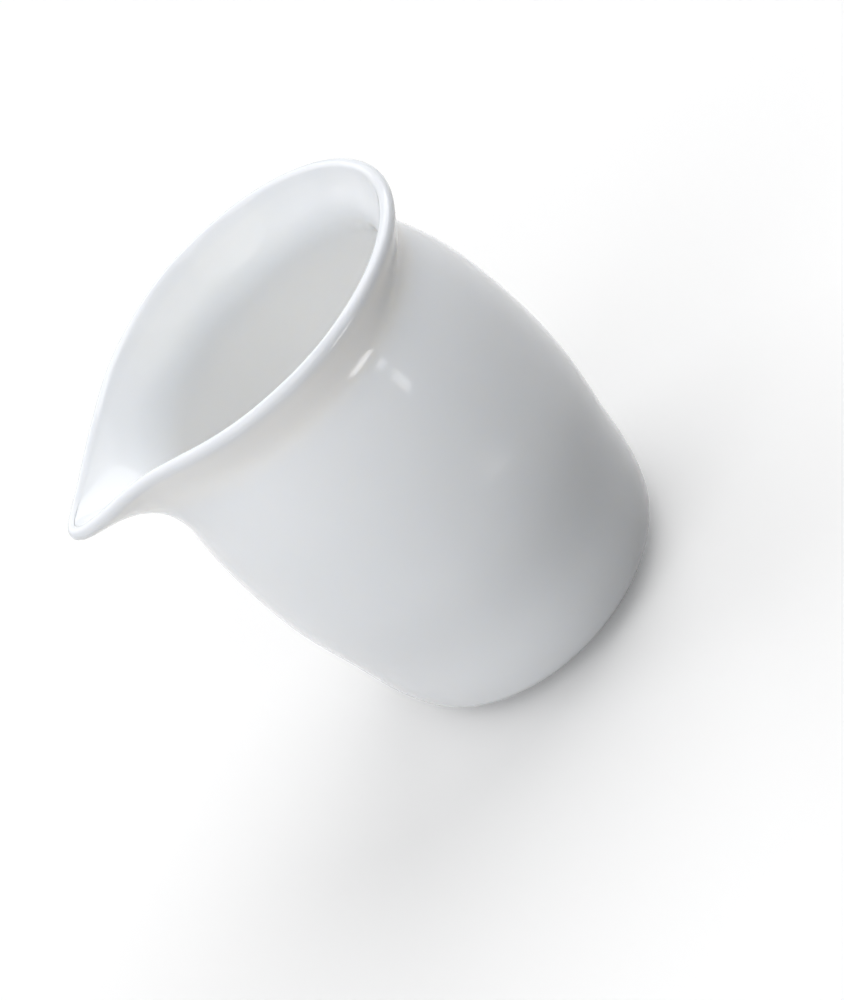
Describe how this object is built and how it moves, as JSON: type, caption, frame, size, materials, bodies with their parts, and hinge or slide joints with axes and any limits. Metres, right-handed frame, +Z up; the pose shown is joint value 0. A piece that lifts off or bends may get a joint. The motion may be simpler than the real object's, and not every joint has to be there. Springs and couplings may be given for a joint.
{
  "type": "cream jug",
  "caption": "Handleless white porcelain cream jug: pear-shaped body, drawn-in neck, flared rim with a wide pulled pouring lip, standing on a narrow unglazed foot ring.",
  "frame": {"origin": "centre of the bottom face of the bounding box, on the surface that the jug stands on; the axis of the round body stands 6.4 mm behind it, at y = +6.44 mm, because the pouring lip reaches forward", "axes": "+Z up, from the foot ring to the rim; -Y points forward, the way the pouring lip pours; +X to the right of somebody looking along +Y at the pouring lip. The jug is symmetric about the plane x = 0"},
  "size_m": [0.0724, 0.0854, 0.088],
  "materials": {
    "glazed_porcelain": "clear glossy glaze over white porcelain",
    "bare_porcelain": "matt unglazed porcelain, ground flat"
  },
  "bodies": {
    "root": {"jug_body": "glazed_porcelain", "foot_ring": "bare_porcelain"}
  },
  "joints": []
}
